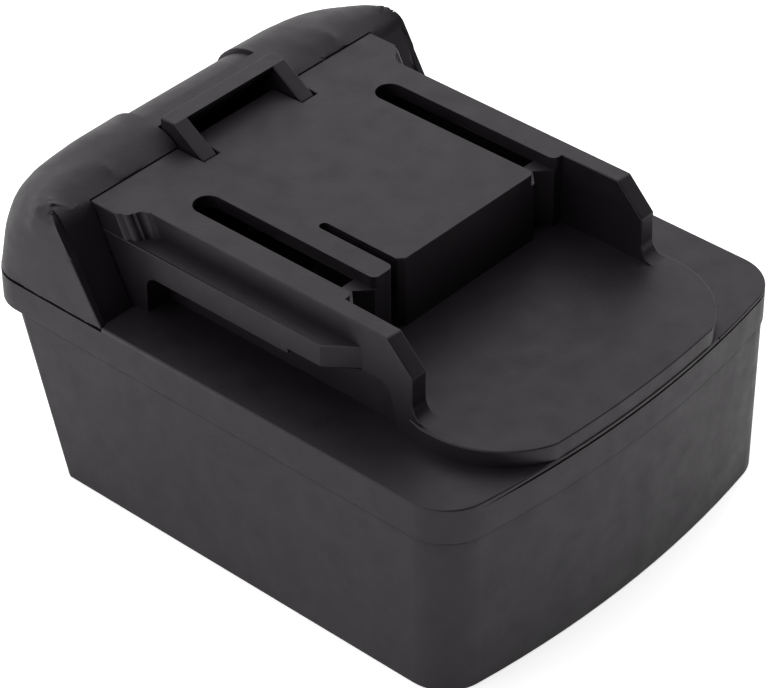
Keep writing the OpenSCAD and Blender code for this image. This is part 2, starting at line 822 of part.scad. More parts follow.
// Height of the hump's crown at a distance from the centre line
function crown(x) = hump_h - crown_fall * pow(x / shoulder_x, 2);

// Outer form of the hump before its front is cut: crowned top, tight shoulders, round rear corners
module hump_form() {
    x = half_w - hump_corner_r;
    hull() {
        translate([0, -block_y, -edge_t]) linear_extrude(edge_t) plan_rear(0, hump_foot, $fn = 32);
        for (s = [-1, 1]) {
            translate([s * x, hump_rear - hump_corner_r, shoulder_top - corner_drop - hump_corner_r])
                sphere(hump_corner_r, $fn = 44);
            translate([s * shoulder_x, hump_foot, shoulder_top - shoulder_r]) rotate([-90, 0, 0])
                cylinder(shoulder_l, r = shoulder_r, $fn = 40);
        }
        for (k = crown_at)
            translate([k * shoulder_x, 0, crown(k * shoulder_x)]) {
                translate([0, hump_foot + crown_slice, -crown_slice])
                    cylinder(crown_slice, crown_slice, 0, $fn = 4);
                translate([0, rear_roll_y, -rear_roll_r]) rotate([0, 90, 0])
                    cylinder(crown_slice, rear_roll_r, rear_roll_r - crown_slice, $fn = 48);
            }
    }
}

// Everything in front of a sloping face that ends in a roll about a centre, side view
module in_front(lean, centre) {
    u = [sin(lean), cos(lean)];
    n = [-cos(lean), sin(lean)];
    touch = centre + roll_r * n;
    far = 2 * deck_z;
    difference() {
        polygon([
            touch - far * u, touch - far * u + far * n, [centre[0] - far, far], [centre[0], far],
            centre, touch
        ]);
        translate(centre) circle(roll_r);
    }
}

// Centre of the roll over the top plane, side view, where the crown has a given height
function roll_centre(top) = let (h = top - top_h)
    [hump_edge + sqrt(2 * roll_r * h - h * h), top + roll_lift - roll_r];

// The front face runs from its foot into the roll, and the lip beside it keeps its own lean
cheek_in = half_w - cheek_lip;
face_foot = hump_foot + cheek_set;
face_roll = roll_centre(crown(seat_half));
face_lean = acos(roll_r / norm(face_roll - [face_foot, 0])) - atan2(face_roll[1], face_roll[0] - face_foot);
lip_roll = [hump_foot + (sin(hump_lean) * face_roll[1] + roll_r) / cos(hump_lean), face_roll[1]];

// Everything in front of or behind the front face inside the lip, on the right
module face_prism() {
    box([0, -body_l, -deck_t], [cheek_in, body_l, deck_z]);
}

// Everything in front of the hump's front face and its roll, which follows the fall of the crown
module before_face() {
    a = roll_centre(crown(0));
    turn = atan((face_roll[0] - a[0]) / seat_half);
    fall = atan((a[1] - face_roll[1]) / seat_half);
    translate([0, a[0], a[1]]) rotate([0, fall, turn]) across(-over, body_w) in_front(face_lean, [0, 0]);
}

// Slab behind the hump's sloping front wall, side view
module behind_front() {
    u = [sin(face_lean), cos(face_lean)];
    n = [cos(face_lean), -sin(face_lean)];
    p = [face_foot, 0] + n * hump_wall;
    polygon([p - u * deck_z, p - u * deck_z + n * body_l, p + u * deck_z + n * body_l, p + u * deck_z]);
}

module latch_housing() {
    tab_x = [case_screw_x / 2 - tab_in, half_w - tray_inset - seat_gap];
    tab_y = screw_ys[1] - block_y;
    color(plastic) on_deck() difference() {
        union() {
            difference() {
                union() {
                    difference() {
                        hump_form();
                        // Sloping front between the lips, the lips, and the roll over the top plane
                        both_sides() {
                            intersection() {
                                before_face();
                                face_prism();
                            }
                            difference() {
                                across(shoulder_x, body_w) in_front(hump_lean, lip_roll);
                                face_prism();
                            }
                        }
                        box([-body_w, 0, -deck_z], [body_w, 2 * body_l, -edge_t]);
                    }
                    // Shadow gap and the spigot inside the case's rim
                    translate([0, -block_y, -edge_t - gap_h]) linear_extrude(gap_h + eps)
                        plan_rear(gap_d, hump_foot);
                    translate([0, -block_y, -deck_t]) linear_extrude(deck_t - edge_t)
                        plan_rear(case_wall + seat_gap, hump_foot + spigot_back);
                }
                // Room inside: a wide low part and a narrower high one
                intersection() {
                    box([-half_w + case_wall + hump_wall, hump_foot, -deck_t - over],
                        [half_w - case_wall - hump_wall, hump_rear - hump_wall - seat_gap,
                            shoulder_top - room_drop]);
                    across(-body_w, body_w) behind_front();
                }
                intersection() {
                    box([-half_w + hump_corner_r, hump_foot, 0],
                        [half_w - hump_corner_r, rear_roll_y + room_back, shoulder_top - roof_t]);
                    across(-body_w, body_w) behind_front();
                }
                // Seat over the block's rear end
                box([-seat_half, 0, -deck_t - over], [seat_half, block_l + slide_gap, top_h - seat_t]);
                box([-seat_half, 0, top_h - seat_t - eps],
                    [seat_half, hump_edge + seat_gap / 2, hump_h + over]);
            }
            // Tabs that the rear case screws clamp under the top cover
            both_sides() difference() {
                union() {
                    box([tab_x[0], tab_y - tab_half, seat_z - deck_z],
                        [tab_x[1], tab_y + tab_half, seat_z + tab_t - deck_z]);
                    box([tab_x[1] - tab_arm, tab_y - tab_half, seat_z - deck_z],
                        [tab_x[1], tab_y + tab_half, -edge_t]);
                }
                translate([case_screw_x / 2, tab_y, seat_z - deck_z - over])
                    cylinder(tab_t + 2 * over, d = case_screw_d + hole_play);
            }
        }
        // Window for the catch, window for the thumb button, and the scoop above it
        box([-window_out, 0, -deck_t - over], [window_out, bar_end + slide_gap, hump_h + over]);
        box([-button_w / 2 - slide_gap, button_face - button_t - slide_gap,
                button_z - latch_travel - slide_gap],
            [button_w / 2 + slide_gap, hump_rear + over, button_z + button_h + slide_gap]);
        difference() {
            box([-catch_w / 2, rear_roll_y, hump_h - rear_roll_r],
                [catch_w / 2, hump_rear + over, hump_h + over]);
            translate([-body_w, rear_roll_y, hump_h - rear_roll_r]) rotate([0, 90, 0])
                cylinder(2 * body_w, r = rear_roll_r - scoop_d);
        }
    }
}

module release_latch() {
    half = catch_w / 2;
    color(plastic) on_deck() difference() {
        union() {
            // Ramped posts and the bar across their rear ends
            both_sides() across(post_in, half) polygon([
                [ramp_y, latch_base_z], [ramp_y, top_h - ramp_foot], [bar_y, catch_top],
                [bar_end, catch_top], [bar_end, latch_base_z]
            ]);
            across(-half, half) polygon([
                [bar_y, catch_top - bar_lip], [bar_y, catch_top], [bar_end, catch_top],
                [bar_end, top_h], [bar_end - bar_foot, top_h]
            ]);
            // Base, stop lugs under the top wall, and the thumb button
            box([-half, ramp_y + latch_base_back, latch_base_z],
                [half, button_face - button_t + eps, latch_base_z + latch_base_t]);
            both_sides() box([half - eps, ramp_y + lug_back, cavity_top - slide_gap - lug_h],
                [half + lug_w, bar_end, cavity_top - slide_gap]);
            box([-button_w / 2, button_face - button_t, button_z],
                [button_w / 2, button_face, button_z + button_h]);
            for (k = [0 : rib_count - 1])
                translate([rib_end - button_w / 2, button_face, button_z + (k + 0.5) * button_h / rib_count])
                    rotate([0, 90, 0]) cylinder(button_w - 2 * rib_end, r = rib_r);
        }
        // Cups for the springs
        for (s = [-1, 1])
            translate([s * spring_x, spring_y, latch_base_z - over])
                cylinder(cup_depth + over, d = spring_d + 2 * slide_gap);
    }
}

function unit(v) = v / norm(v);

// Ring that keeps the turn of the one before it: a is the last ring's first arm
function carried(a, t) = unit(a - (a * t) * t);
function arms(dirs, i = 0, a = [1, 0, 0]) =
    i == len(dirs) ? [] : let (b = carried(a, dirs[i])) concat([b], arms(dirs, i + 1, b));

// Tube along a route, closed at both ends, in triangles
module tube(route, r, n, first_arm = [1, 0, 0]) {
    last = len(route) - 1;
    dirs = [for (i = [0 : last])
        unit(route[min(i + 1, last)] - route[max(i - 1, 0)])];
    arm = arms(dirs, 0, first_arm);
    points = [for (i = [0 : last], j = [0 : n - 1])
        route[i] + r * (cos(360 * j / n) * arm[i] + sin(360 * j / n) * cross(dirs[i], arm[i]))];
    sides = [for (i = [0 : last - 1], j = [0 : n - 1])
        let (a = i * n + j, b = i * n + (j + 1) % n)
        each [[a, a + n, b], [b, a + n, b + n]]];
    caps = [for (j = [1 : n - 2])
        each [[0, j, j + 1], [last * n, last * n + j + 1, last * n + j]]];
    polyhedron(points, concat(sides, caps));
}

// Route of one spring: level first and last turns, an even climb between
spring_r = (spring_d - spring_wire) / 2;
spring_rings = 8;
spring_low = spring_foot + spring_wire / 2 + spring_end_gap;
spring_high = spring_head - spring_wire / 2 - spring_end_gap;
spring_steps = spring_turns * spring_rings;
spring_route = [for (i = [0 : spring_steps])
    let (a = 360 * i / spring_rings)
    [spring_r * cos(a), spring_r * sin(a), spring_low + (spring_high - spring_low) * i / spring_steps]];
// Least distance between turns, measured on points at least half a turn apart
spring_least = min([for (i = [0 : spring_steps], j = [0 : spring_steps])
    if (j - i >= spring_rings / 2) norm(spring_route[i] - spring_route[j])]);
echo(least_spring_gap = spring_least - spring_wire);

module latch_springs() {
    color(steel) on_deck()
        for (s = [-1, 1])
            translate([s * spring_x, spring_y, 0]) tube(spring_route, spring_wire / 2, 6, [1, 0, 0]);
}

module terminal_carrier() {
    rib_x = leaf_gap / 2 + strip_t + carrier_rib_gap + carrier_rib[0] / 2;
    color(grey_plastic) on_deck() difference() {
        union() {
            box([-carrier_half, carrier_y[0], -carrier_t], [carrier_half, carrier_y[1], 0]);
            // Ribs that stand on either side of each power contact
            for (s = [-1, 1], k = [-1, 1])
                translate([s * slot_spacing / 2 + k * rib_x, carrier_y[1], -eps])
                    translate([-carrier_rib[0] / 2, -carrier_rib[1], 0]) cube(carrier_rib);
        }
        for (s = [-1, 1])
            translate([s * carrier_screw[0], carrier_screw[1], -carrier_t - over])
                cylinder(carrier_t + 2 * over, d = small_screw_d + hole_play);
    }
}

// Fork contact for one power slot: two sprung leaves on a base strip with a solder tail
module fork_contact() {
    g = leaf_gap / 2;
    p = pinch_gap / 2;
    both_sides() translate([0, 0, strip_t - eps]) linear_extrude(leaf_h - strip_t) polygon([
        [g, leaf_y + leaf_l], [g, leaf_y + leaf_straight], [p, leaf_y + leaf_pinch], [g, leaf_y],
        [g + strip_t, leaf_y], [p + strip_t, leaf_y + leaf_pinch], [g + strip_t, leaf_y + leaf_straight],
        [g + strip_t, leaf_y + leaf_l]
    ]);
    box([-g - strip_t, leaf_y + leaf_foot, 0], [g + strip_t, leaf_y + leaf_l, strip_t]);
    box([-tail_half, leaf_y + leaf_l - eps, 0], [tail_half, tail_y + tail_half, strip_t]);
}

module positive_contact() {
    color(copper) on_deck() translate([slot_spacing / 2, 0, 0]) fork_contact();
}

module negative_contact() {
    color(copper) on_deck() translate([-slot_spacing / 2, 0, 0]) fork_contact();
}

// Single leaf behind the signal slot
module signal_contact() {
    color(copper) on_deck() translate([-signal_x, 0, 0]) {
        box([-signal_strip / 2, leaf_y, 0],
            [signal_strip / 2, leaf_y + signal_leaf_l, leaf_h - signal_leaf_drop]);
        box([-signal_tail_half, leaf_y + leaf_straight, 0],
            [signal_tail_half, tail_y + signal_tail_half, signal_strip]);
    }
}

// Side view of a pack blade: a long flat tongue with a solder tail that rises through the ceiling
module blade_side(l, top) {
    low = blade_z - blade_h;
    polygon([
        [blade_tail[0], low], [holder_y + l - blade_bevel, low], [holder_y + l, low + blade_bevel],
        [holder_y + l, blade_z - blade_bevel], [holder_y + l - blade_bevel, blade_z],
        [blade_tail[1], blade_z], [blade_tail[1], top], [blade_tail[0], top]
    ]);
}

module positive_blade() {
    color(copper) on_deck() translate([blade_spacing / 2, 0, 0])
        across(-blade_t / 2, blade_t / 2) blade_side(blade_l, tail_top);
}

module negative_blade() {
    color(copper) on_deck() translate([-blade_spacing / 2, 0, 0])
        across(-blade_t / 2, blade_t / 2) blade_side(blade_l, tail_top);
}

module signal_blade() {
    color(copper) on_deck() translate([signal_blade_x, 0, 0])
        across(-blade_t / 2, blade_t / 2) blade_side(blade_l - signal_blade_cut, board_top + solder_rise);
}

module blade_holder() {
    color(grey_plastic) on_deck() difference() {
        box([-holder_w / 2, holder_y - holder_l, holder_top - holder_h],
            [holder_w / 2, holder_y, holder_top]);
        for (x = [-blade_spacing / 2, signal_blade_x, blade_spacing / 2])
            translate([x, 0, 0]) across(-blade_t / 2 - seat_gap, blade_t / 2 + seat_gap) blade_slot();
        for (s = [-1, 1])
            translate([s * holder_screw[0], holder_screw[1], holder_top - thread_in])
                cylinder(thread_in + over, d = core(small_screw_d));
    }
}

// Side view of the slot for a blade in its holder
module blade_slot() {
    low = blade_z - blade_h - seat_gap;
    high = blade_z + seat_gap;
    polygon([
        [blade_tail[0] - seat_gap, low], [holder_y + over, low], [holder_y + over, high],
        [blade_tail[1] + seat_gap, high], [blade_tail[1] + seat_gap, holder_top + over],
        [blade_tail[0] - seat_gap, holder_top + over]
    ]);
}

module circuit_board() {
    color("#2f5d3a") on_deck() difference() {
        box([-board_w / 2, board_y, board_z], [board_w / 2, board_y + board_l, board_top]);
        for (p = board_screw)
            translate([p[0], p[1], board_z - over])
                cylinder(board_t + 2 * over, d = board_screw_d + hole_play);
        translate([signal_blade_x, 0, board_z - over]) tail_room(board_t + 2 * over);
    }
}

// Parts soldered on the board: a switching transistor, a small controller and a row of resistors
module board_components() {
    color("#1d1d1f") on_deck() translate([0, board_y, board_top]) {
        translate(transistor_at) transistor();
        translate(chip_at) controller();
        for (k = [0 : 3])
            translate(resistor_at + [0, k * resistor_pitch]) on_centre(resistor_size);
    }
}

// Box that stands on the board, centred on its place
module on_centre(size) {
    translate([-size[0] / 2, -size[1] / 2, 0]) cube(size);
}

module transistor() {
    on_centre(transistor_size);
    translate([0, (transistor_size[1] + transistor_tab[1]) / 2, 0]) on_centre(transistor_tab);
    for (s = [-1, 1])
        translate([s * transistor_leg_x, -(transistor_size[1] + transistor_leg[1]) / 2, 0])
            on_centre(transistor_leg);
}

module controller() {
    translate([0, 0, chip_rise]) on_centre(chip_size);
    for (s = [-1, 1], k = [-1.5 : 1 : 1.5])
        translate([s * (chip_size[0] + chip_leg[0]) / 2, k * chip_pitch, 0]) on_centre(chip_leg);
}

module positive_lead() {
    color("#8f2a26") on_deck() tube(power_route, power_lead_d / 2, 8);
}

module negative_lead() {
    color("#262628") on_deck() mirror([1, 0, 0]) tube(power_route, power_lead_d / 2, 8);
}

module signal_lead() {
    color("#c9c4b4") on_deck() tube(signal_route, signal_lead_d / 2, 8);
}

// Pan-head screw standing on its head's seat, thread upwards, with a cross recess
module screw(d, l, head) {
    bit = [head[0] * 0.56, head[0] * 0.12, head[1] * 0.6];
    difference() {
        union() {
            translate([0, 0, -head[1]]) cylinder(head[1], d = head[0]);
            cylinder(l, d = core(d));
        }
        for (a = [0, 90])
            rotate(a) translate([-bit[0] / 2, -bit[1] / 2, -head[1] - over])
                cube([bit[0], bit[1], bit[2] + over]);
    }
}

module case_screws() {
    color(steel) for (x = [-1, 1], y = screw_ys)
        translate([x * case_screw_x / 2, y, seat_z - cup_t])
            screw(case_screw_d, cup_t + thread_in - tip_room + (y > 0 ? tab_t : 0), case_head);
}

module carrier_screws() {
    color(steel) on_deck() for (s = [-1, 1])
        translate([s * carrier_screw[0], carrier_screw[1], -carrier_t])
            screw(small_screw_d, carrier_t + thread_in - tip_room, small_head);
}

module holder_screws() {
    color(steel) on_deck() for (s = [-1, 1])
        translate([s * holder_screw[0], holder_screw[1], ceiling_z - deck_z]) mirror([0, 0, 1])
            screw(small_screw_d, ceiling_t + thread_in - tip_room, small_head);
}

module board_screws() {
    color(steel) on_deck() for (p = board_screw)
        translate([p[0], p[1], board_top]) mirror([0, 0, 1])
            screw(board_screw_d, board_t + standoff_h - tip_room, board_head);
}

lower_case();
top_cover();
latch_housing();
release_latch();
latch_springs();
terminal_carrier();
positive_contact();
negative_contact();
signal_contact();
blade_holder();
positive_blade();
negative_blade();
signal_blade();
circuit_board();
board_components();
positive_lead();
negative_lead();
signal_lead();
case_screws();
carrier_screws();
holder_screws();
board_screws();
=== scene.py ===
from math import radians

import bmesh
import bpy
from mathutils import Matrix, Vector
from mathutils.geometry import intersect_point_line


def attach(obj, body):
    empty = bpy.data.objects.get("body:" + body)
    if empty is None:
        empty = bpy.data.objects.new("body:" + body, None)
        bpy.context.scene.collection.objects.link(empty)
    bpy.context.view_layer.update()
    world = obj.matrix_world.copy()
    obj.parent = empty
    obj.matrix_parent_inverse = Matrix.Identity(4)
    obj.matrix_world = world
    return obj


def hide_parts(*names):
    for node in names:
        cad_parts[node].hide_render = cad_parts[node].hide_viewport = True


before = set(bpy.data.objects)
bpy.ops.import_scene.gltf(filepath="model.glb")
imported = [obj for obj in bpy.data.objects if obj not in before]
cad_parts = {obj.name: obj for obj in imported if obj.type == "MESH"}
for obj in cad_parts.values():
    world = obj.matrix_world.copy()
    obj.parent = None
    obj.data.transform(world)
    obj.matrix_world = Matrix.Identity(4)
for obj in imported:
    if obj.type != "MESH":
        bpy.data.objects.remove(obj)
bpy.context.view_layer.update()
mm = 0.001
print("frame loaded:", len(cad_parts), "CAD pieces")


def toLinear(hexColour):
    channels = [int(hexColour[i:i + 2], 16) / 255 for i in (1, 3, 5)]
    return [c / 12.92 if c <= 0.04045 else ((c + 0.055) / 1.055) ** 2.4 for c in channels] + [1]


def addNode(tree, kind, settings=None, links=None):
    node = tree.nodes.new(kind)
    for name, value in (settings or {}).items():
        if name in node.inputs:
            node.inputs[name].default_value = value
        else:
            setattr(node, name, value)
    for name, source in (links or {}).items():
        tree.links.new(source, node.inputs[name])
    return node


def addMath(tree, operation, *values):
    node = addNode(tree, "ShaderNodeMath", {"operation": operation})
    for socket, value in zip(node.inputs, values):
        if isinstance(value, bpy.types.NodeSocket):
            tree.links.new(value, socket)
        else:
            socket.default_value = value
    return node.outputs[0]


def newMaterial(name):
    material = bpy.data.materials.new(name)
    material.use_nodes = True
    material.node_tree.nodes.clear()
    return material, material.node_tree


# Injection-moulded ABS, black, spark-eroded mould: even satin that mirrors the white studio softly
absLook = {
    "colour": "#1d191d",
    "sheen": "#fff7ff",      # the satin leans to violet
    "ior": 1.55,
    "roughness": 0.46,
    "grain": 0.5 * mm,       # the real grain is finer, drawn as coarse as it needs to show
    "grainDetail": 2.0,
    "grainDepth": 0.02 * mm,
    "cloud": 4.0 * mm,       # soft patches where the mould is polished by wear
    "cloudDetail": 3.0,
    "cloudRoughness": 0.6,
    "cloudRange": (0.3, 0.7),
    "cloudSpread": 0.06,
}


def mouldedAbs(name, look):
    material, tree = newMaterial(name)
    place = addNode(tree, "ShaderNodeTexCoord")
    grain = addNode(tree, "ShaderNodeTexNoise",
                    {"Scale": 1 / look["grain"], "Detail": look["grainDetail"]},
                    {"Vector": place.outputs["Object"]})
    bump = addNode(tree, "ShaderNodeBump", {"Strength": 1.0, "Distance": look["grainDepth"]},
                   {"Height": grain.outputs["Fac"]})
    cloud = addNode(tree, "ShaderNodeTexNoise",
                    {"Scale": 1 / look["cloud"], "Detail": look["cloudDetail"],
                     "Roughness": look["cloudRoughness"]},
                    {"Vector": place.outputs["Object"]})
    low, high = look["cloudRange"]
    gloss = addNode(tree, "ShaderNodeMapRange",
                    {"From Min": low, "From Max": high, "To Min": look["roughness"] - look["cloudSpread"],
                     "To Max": look["roughness"] + look["cloudSpread"]}, {"Value": cloud.outputs["Fac"]})
    plastic = addNode(tree, "ShaderNodeBsdfPrincipled",
                      {"Base Color": toLinear(look["colour"]), "IOR": look["ior"],
                       "Specular Tint": toLinear(look["sheen"])},
                      {"Normal": bump.outputs["Normal"], "Roughness": gloss.outputs[0]})
    addNode(tree, "ShaderNodeOutputMaterial", None, {"Surface": plastic.outputs["BSDF"]})
    return material


# Plain finishes of the pieces inside
insideLooks = {
    "innerNylon": {"colour": "#2a2a2c", "roughness": 0.5, "metallic": 0.0},
    "tinPlatedBrass": {"colour": "#a9a6a0", "roughness": 0.36, "metallic": 1.0},
    "springSteel": {"colour": "#b9bbbe", "roughness": 0.28, "metallic": 1.0},
    "zincPlatedSteel": {"colour": "#b3b5b8", "roughness": 0.35, "metallic": 1.0},
    "solderResist": {"colour": "#1f5a33", "roughness": 0.3, "metallic": 0.0},
    "epoxyPackage": {"colour": "#1c1c1e", "roughness": 0.55, "metallic": 0.0},
    "redPvc": {"colour": "#a3231f", "roughness": 0.4, "metallic": 0.0},
    "blackPvc": {"colour": "#1d1d1f", "roughness": 0.4, "metallic": 0.0},
    "palePvc": {"colour": "#cfc9b8", "roughness": 0.4, "metallic": 0.0},
}


def plainFinish(name, look):
    material, tree = newMaterial(name)
    shader = addNode(tree, "ShaderNodeBsdfPrincipled",
                     {"Base Color": toLinear(look["colour"]), "Roughness": look["roughness"],
                      "Metallic": look["metallic"]})
    addNode(tree, "ShaderNodeOutputMaterial", None, {"Surface": shader.outputs["BSDF"]})
    return material


blackAbs = mouldedAbs("blackMouldedAbs", absLook)
finishes = {name: plainFinish(name, look) for name, look in insideLooks.items()}
print("materials made")


# The outer mouldings are shown as merged copies, with rounded edges and smooth skins
smoothAngle = radians(32)
flatAngle = radians(0.2)
sharpAngle = radians(40)
mergeReach = 0.0005 * mm
levelSlack = 0.02    # mm between a point and the level it is looked for at
cutSlack = 0.005


def startEdit(piece, kind):
    bpy.context.view_layer.objects.active = piece
    bpy.ops.object.mode_set(mode="EDIT")
    bpy.ops.mesh.select_mode(type=kind)
    bpy.ops.mesh.select_all(action="DESELECT")
    mesh = bmesh.from_edit_mesh(piece.data)
    mesh.normal_update()
    return mesh


def within(point, boxes):
    return any(all(low[i] * mm <= point[i] <= high[i] * mm for i in range(3)) for low, high in boxes)


def atLevel(corner, level, slack=levelSlack):
    return abs(corner.co.z / mm - level) < slack


# A fine groove under the rim band, on the sides and the front
bandLine = {"top": 28.0, "height": 0.6, "depth": 0.24, "rearEnd": 36, "halfSize": (37.75, 47.75),
            "sideFacing": 0.7, "sideFrom": 37, "frontFacing": 0.3, "frontFrom": 38}


def cutBandLine(piece):
    mesh = startEdit(piece, "FACE")
    low = bandLine["top"] - bandLine["height"]
    for face in mesh.faces:
        middle = face.calc_center_median() / mm
        outward = (face.normal.x * middle.x > 0 and abs(face.normal.x) > bandLine["sideFacing"]
                   and abs(middle.x) > bandLine["sideFrom"])
        forward = face.normal.y < -bandLine["frontFacing"] and middle.y < -bandLine["frontFrom"]
        highest = max(face.verts, key=lambda corner: corner.co.z)
        if (outward or forward) and atLevel(highest, bandLine["top"]):
            face.select_set(True)
    bmesh.update_edit_mesh(piece.data)
    bpy.ops.mesh.bisect(plane_co=(0, 0, low * mm), plane_no=(0, 0, 1))
    bpy.ops.mesh.select_all(action="DESELECT")
    bpy.ops.mesh.select_mode(type="VERT")
    mesh = bmesh.from_edit_mesh(piece.data)
    cut = {corner for corner in mesh.verts if atLevel(corner, low, cutSlack)}
    ring = {corner for face in mesh.faces if sum(corner in cut for corner in face.verts) >= 2
            for corner in face.verts if atLevel(corner, bandLine["top"])}
    for corner in ring:
        if corner.co.y < bandLine["rearEnd"] * mm:
            corner.select_set(True)
    bmesh.update_edit_mesh(piece.data)
    print("    band line:", len(cut), "cut points,", len(ring), "ring points")
    shrink = [1 - bandLine["depth"] / half for half in bandLine["halfSize"]]
    bpy.ops.transform.resize(value=(*shrink, 1), center_override=(0, 0, bandLine["top"] * mm))
    bpy.ops.object.mode_set(mode="OBJECT")


# The cover's edge closes down on the case along the left side and opens round the near corner
leftSeam = {"edge": 33.6, "top": 34.1, "rearEnd": 40, "drop": 0.4,
            "steps": [(-38.1, -31.5, 1.0), (-31.5, -29.5, 0.75), (-29.5, -27.5, 0.5), (-27.5, -25, 0.25)]}


def closeLeftSeam(piece):
    for fromX, toX, share in leftSeam["steps"]:
        mesh = startEdit(piece, "VERT")
        for corner in mesh.verts:
            spot = corner.co / mm
            outer = any(atLevel(edge.other_vert(corner), leftSeam["top"]) for edge in corner.link_edges)
            inReach = fromX <= spot.x < toX and spot.y < leftSeam["rearEnd"]
            if outer and inReach and atLevel(corner, leftSeam["edge"]):
                corner.select_set(True)
        bmesh.update_edit_mesh(piece.data)
        bpy.ops.transform.translate(value=(0, 0, -leftSeam["drop"] * share * mm))
        bpy.ops.object.mode_set(mode="OBJECT")


# The hump's skin: even triangles, then relaxed so that no facet shows; the lip's ends keep their crease
humpSkin = {"edge": 1.3, "turns": 6, "bend": radians(25), "relax": 30, "pull": 0.5,
            "sliver": 0.04, "sliverTurns": 3, "lipBend": radians(12),
            "lipEnds": [((-38.1, 28, 41), (-33.5, 37, 49.5)), ((33.5, 28, 41), (38.1, 37, 49.5))]}


def selectSkin(piece):
    mesh = startEdit(piece, "FACE")
    seed = max(mesh.faces, key=lambda face: face.calc_center_median().z)
    seed.select_set(True)
    mesh.faces.active = seed
    bmesh.update_edit_mesh(piece.data)
    bpy.ops.mesh.faces_select_linked_flat(sharpness=humpSkin["bend"])
    return bmesh.from_edit_mesh(piece.data)


def isSliver(face):
    return face.calc_area() < humpSkin["sliver"] * mm * mm


def isRim(edge, skin):
    if any(face not in skin for face in edge.link_faces):
        return True
    bend = abs(edge.calc_face_angle_signed(0))
    if within(edge.verts[0].co, humpSkin["lipEnds"]):
        return bend > humpSkin["lipBend"]
    return bend > sharpAngle and not any(isSliver(face) for face in edge.link_faces)


def relaxSkin(piece):
    for turn in range(humpSkin["turns"]):
        selectSkin(piece)
        bpy.ops.mesh.quads_convert_to_tris(quad_method="BEAUTY", ngon_method="BEAUTY")
        mesh = selectSkin(piece)
        longEdges = {edge for face in mesh.faces if face.select for edge in face.edges
                     if edge.calc_length() > humpSkin["edge"] * mm}
        bpy.ops.mesh.select_mode(type="EDGE")
        bpy.ops.mesh.select_all(action="DESELECT")
        for edge in longEdges:
            edge.select_set(True)
        bmesh.update_edit_mesh(piece.data)
        if not longEdges:
            break
        bpy.ops.mesh.subdivide(number_cuts=1)
        selectSkin(piece)
        bpy.ops.mesh.quads_convert_to_tris(quad_method="BEAUTY", ngon_method="BEAUTY")
        bpy.ops.mesh.beautify_fill(angle_limit=humpSkin["bend"])
    mesh = selectSkin(piece)
    skin = {face for face in mesh.faces if face.select}
    for turn in range(humpSkin["sliverTurns"]):    # slivers on the skin belong to it, whichever way they face
        skin |= {other for face in skin for edge in face.edges for other in edge.link_faces
                 if isSliver(other)}
    inner = [corner for corner in {corner for face in skin for corner in face.verts}
             if not any(isRim(edge, skin) for edge in corner.link_edges)]
    print("    hump skin:", len(skin), "faces,", len(inner), "inner points")
    bpy.ops.mesh.select_mode(type="VERT")
    bpy.ops.mesh.select_all(action="DESELECT")
    for corner in inner:
        corner.select_set(True)
    bmesh.update_edit_mesh(piece.data)
    bpy.ops.mesh.vertices_smooth(factor=humpSkin["pull"], repeat=humpSkin["relax"])
    bpy.ops.object.mode_set(mode="OBJECT")


# Edges inside the sharp boxes stay as the CAD has them
mouldings = {
    "lower_case": {"name": "lowerCase", "body": "adapter", "slot": "black_plastic", "shape": cutBandLine,
                   "sharp": [((-38.1, -48.1, 33), (38.1, 48.1, 33.3))]},
    "top_cover": {"name": "topCover", "body": "adapter", "slot": "black_plastic", "shape": closeLeftSeam,
                  "sharp": [((-38.1, -48.1, 33), (38.1, 48.1, 33.7)),
                            ((-25, -14, 36), (-16, -8, 49.2)), ((16, -14, 36), (25, -8, 49.2))]},
    "latch_housing": {"name": "latchHousing", "body": "adapter", "slot": "black_plastic", "shape": relaxSkin,
                      "sharp": [((-20, 30, 46), (20, 48.1, 52)),
                                ((-38.1, 28, 41), (-24, 42, 52)), ((24, 28, 41), (38.1, 42, 52))]},
    "release_latch": {"name": "releaseLatch", "body": "latch", "slot": "latch_plastic", "shape": None,
                      "sharp": []},
}

# Wide rounds first, then narrow ones where the wide ones had no room
rounding = {"reaches": (0.25, 0.12), "steps": 3, "turns": 3,
            "roomBetween": 2.2, "room": 1.2, "shortest": 1.3}    # in reaches


def farEnough(edge, face, chosen, reach):
    middle = (edge.verts[0].co + edge.verts[1].co) / 2
    for other in face.edges:
        if other is edge or set(other.verts) & set(edge.verts):
            continue
        spot, share = intersect_point_line(middle, other.verts[0].co, other.verts[1].co)
        if share < 0:
            spot = other.verts[0].co
        elif share > 1:
            spot = other.verts[1].co
        room = rounding["roomBetween" if other in chosen else "room"] * reach
        bent = other in chosen or abs(other.calc_face_angle_signed(0)) > smoothAngle
        if bent and (spot - middle).length < room:
            return False
    return True


def roundEdges(piece, look, reach):
    mesh = startEdit(piece, "EDGE")
    chosen = {edge for edge in mesh.edges if edge.is_manifold and edge.calc_face_angle_signed() > sharpAngle
              and not within((edge.verts[0].co + edge.verts[1].co) / 2, look["sharp"])}
    started = len(chosen)
    for turn in range(rounding["turns"]):
        chosen -= {edge for edge in chosen
                   if not all(farEnough(edge, face, chosen, reach) for face in edge.link_faces)}
        chosen -= {edge for edge in chosen
                   if any(other not in chosen and other.calc_length() < rounding["shortest"] * reach
                          for end in edge.verts for other in end.link_edges)}
    for edge in chosen:
        edge.select_set(True)
    bmesh.update_edit_mesh(piece.data)
    print("   ", piece.name, "rounded", len(chosen), "of", started, "outer edges at", reach / mm, "mm")
    bpy.ops.mesh.bevel(offset=reach, offset_type="OFFSET", segments=rounding["steps"], profile=0.5,
                       affect="EDGES", clamp_overlap=False, loop_slide=True)
    bpy.ops.object.mode_set(mode="OBJECT")


